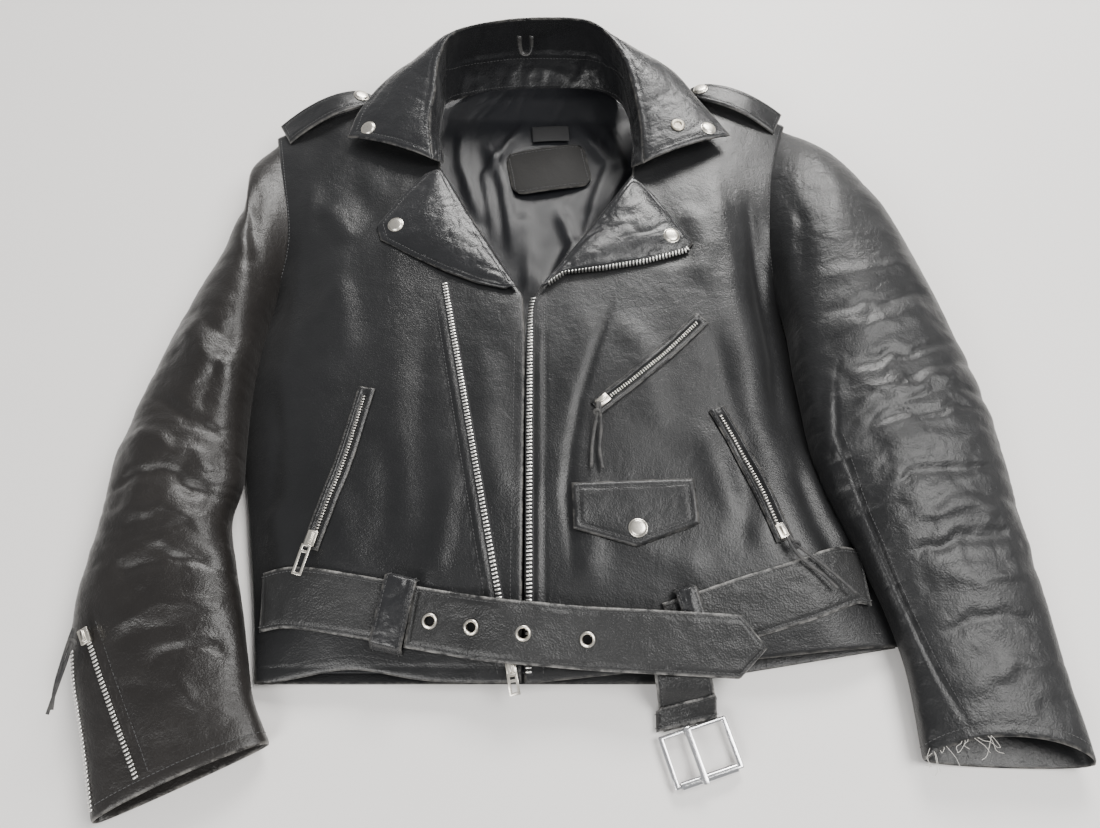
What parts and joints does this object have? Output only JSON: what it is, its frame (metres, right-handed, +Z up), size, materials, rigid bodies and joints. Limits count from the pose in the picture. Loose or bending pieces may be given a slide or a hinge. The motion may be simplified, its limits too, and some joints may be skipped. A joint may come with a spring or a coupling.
{
  "type": "leather biker jacket",
  "caption": "Leather jacket lying open on its back, with a belt, lapels, zip pockets, a snap flap pocket, epaulettes and soft sleeves that swing.",
  "frame": {"origin": "under the middle of the jacket's bounding box, on the surface that it lies on", "axes": "+X to the wearer's left, +Y towards the collar, +Z up, out of the chest"},
  "size_m": [0.7602, 0.7318, 0.0872],
  "materials": {
    "black_leather": "semi-gloss black grained leather",
    "glossy_leather": "glossier crinkled black leather",
    "belt_leather": "worn pebbled black leather",
    "satin_lining": "black satin",
    "nickel": "worn nickel plate",
    "zip_teeth": "bright metal teeth on black tape",
    "chrome": "polished plate"
  },
  "bodies": {
    "jacket": {"back_panel": "black_leather", "back_lining": "satin_lining", "right_yoke": "black_leather", "left_yoke": "black_leather", "right_front": "black_leather", "left_front": "black_leather", "right_front_lining": "satin_lining", "left_front_lining": "satin_lining", "collar_fall": "glossy_leather", "collar_stand": "glossy_leather", "hanger_loop": "glossy_leather", "label_patch": "black_leather", "main_zip_right": "zip_teeth", "main_zip_left": "zip_teeth", "right_pocket_zip": "zip_teeth", "left_pocket_zip": "zip_teeth", "chest_zip": "zip_teeth", "belt_side": "belt_leather", "belt_left": "belt_leather", "belt_loop_right": "glossy_leather", "belt_loop_left": "glossy_leather", "buckle_strap": "belt_leather", "right_collar_snap": "nickel", "left_collar_snap": "nickel", "left_collar_stud": "nickel"},
    "right_sleeve": {"right_sleeve_top": "black_leather", "right_sleeve_under": "black_leather", "cuff_zip": "zip_teeth"},
    "left_sleeve": {"left_sleeve_top": "black_leather", "left_sleeve_under": "black_leather"},
    "cuff_slider": {"cuff_slider": "nickel", "cuff_thong": "black_leather"},
    "right_lapel": {"right_lapel": "glossy_leather", "right_lapel_snap": "nickel"},
    "left_lapel": {"left_lapel": "glossy_leather", "left_lapel_snap": "nickel", "main_zip_lapel": "zip_teeth"},
    "pocket_flap": {"pocket_flap": "black_leather", "flap_snap": "nickel"},
    "right_epaulette": {"right_epaulette": "black_leather", "right_epaulette_snap": "nickel"},
    "left_epaulette": {"left_epaulette": "black_leather", "left_epaulette_snap": "nickel"},
    "main_slider": {"main_slider": "nickel"},
    "main_pull": {"main_pull": "nickel"},
    "chest_slider": {"chest_slider": "nickel", "chest_thong": "black_leather"},
    "right_pocket_slider": {"right_pocket_slider": "nickel"},
    "right_pocket_pull": {"right_pocket_pull": "nickel"},
    "left_pocket_slider": {"left_pocket_slider": "nickel", "left_pocket_thong": "black_leather"},
    "belt_tongue": {"belt_tongue": "belt_leather", "eyelet_1": "nickel", "eyelet_2": "nickel", "eyelet_3": "nickel", "eyelet_4": "nickel"},
    "buckle_frame": {"buckle_frame": "chrome"},
    "buckle_prong": {"buckle_prong": "chrome"},
    "buckle_roller": {"buckle_roller": "chrome"}
  },
  "joints": [
    {"name": "right_sleeve_swing", "type": "hinge", "parent": "jacket", "child": "right_sleeve", "pos_m": [-0.28962, 0.24596, 0], "axis": [0, 0, -1], "range_deg": [0, 25]},
    {"name": "left_sleeve_swing", "type": "hinge", "parent": "jacket", "child": "left_sleeve", "pos_m": [0.22538, 0.26496, 0], "axis": [0, 0, 1], "range_deg": [0, 25]},
    {"name": "cuff_zip_slide", "type": "slide", "parent": "right_sleeve", "child": "cuff_slider", "axis": [0.4898, -0.8716, -0.0221], "range_m": [0, 0.095]},
    {"name": "right_lapel_turn", "type": "hinge", "parent": "jacket", "child": "right_lapel", "pos_m": [-0.03862, 0.05396, 0.047], "axis": [-0.4879, 0.8729, 0], "range_deg": [0, 105]},
    {"name": "left_lapel_turn", "type": "hinge", "parent": "jacket", "child": "left_lapel", "pos_m": [-0.02962, 0.05196, 0.047], "axis": [-0.5591, -0.8291, 0], "range_deg": [0, 105]},
    {"name": "pocket_flap_lift", "type": "hinge", "parent": "jacket", "child": "pocket_flap", "pos_m": [0.05139, -0.11992, 0.04467], "axis": [-0.9993, -0.0367, -0.0037], "range_deg": [0, 105]},
    {"name": "right_epaulette_lift", "type": "hinge", "parent": "jacket", "child": "right_epaulette", "pos_m": [-0.27898, 0.24905, 0.04111], "axis": [0.4678, -0.8818, 0.0598], "range_deg": [0, 90]},
    {"name": "left_epaulette_lift", "type": "hinge", "parent": "jacket", "child": "left_epaulette", "pos_m": [0.21481, 0.26403, 0.04049], "axis": [0.4012, 0.9146, -0.0496], "range_deg": [0, 90]},
    {"name": "main_zip_slide", "type": "slide", "parent": "jacket", "child": "main_slider", "axis": [-0.1882, 0.9523, 0.2404], "range_m": [0, 0.07]},
    {"name": "main_pull_swing", "type": "hinge", "parent": "main_slider", "child": "main_pull", "pos_m": [-0.04318, -0.26507, 0.0258], "axis": [-0.9821, -0.1824, -0.0461], "range_deg": [0, 90]},
    {"name": "chest_zip_slide", "type": "slide", "parent": "jacket", "child": "chest_slider", "axis": [0.7413, 0.6711, 0.0045], "range_m": [0, 0.108]},
    {"name": "right_pocket_slide", "type": "slide", "parent": "jacket", "child": "right_pocket_slider", "axis": [0.2419, 0.9674, 0.0747], "range_m": [0, 0.12]},
    {"name": "right_pocket_pull_swing", "type": "hinge", "parent": "right_pocket_slider", "child": "right_pocket_pull", "pos_m": [-0.20125, -0.17297, 0.04713], "axis": [-0.9703, 0.2419, 0.0086], "range_deg": [0, 110]},
    {"name": "left_pocket_slide", "type": "slide", "parent": "jacket", "child": "left_pocket_slider", "axis": [-0.3721, 0.9261, 0.0623], "range_m": [0, 0.1]},
    {"name": "belt_tongue_lift", "type": "hinge", "parent": "jacket", "child": "belt_tongue", "pos_m": [-0.12162, -0.22504, 0.0346], "axis": [-0.1689, -0.9856, 0], "range_deg": [0, 40]},
    {"name": "buckle_swing", "type": "hinge", "parent": "jacket", "child": "buckle_frame", "pos_m": [0.09138, -0.30204, 0.0056], "axis": [-0.9553, -0.2955, 0], "range_deg": [0, 75]},
    {"name": "prong_swing", "type": "hinge", "parent": "buckle_frame", "child": "buckle_prong", "pos_m": [0.09138, -0.30204, 0.0056], "axis": [-0.9553, -0.2955, 0], "range_deg": [0, 40]},
    {"name": "roller_turn", "type": "hinge", "parent": "buckle_frame", "child": "buckle_roller", "pos_m": [0.10172, -0.33548, 0.0056], "axis": [0.9553, 0.2955, 0], "continuous": true}
  ]
}
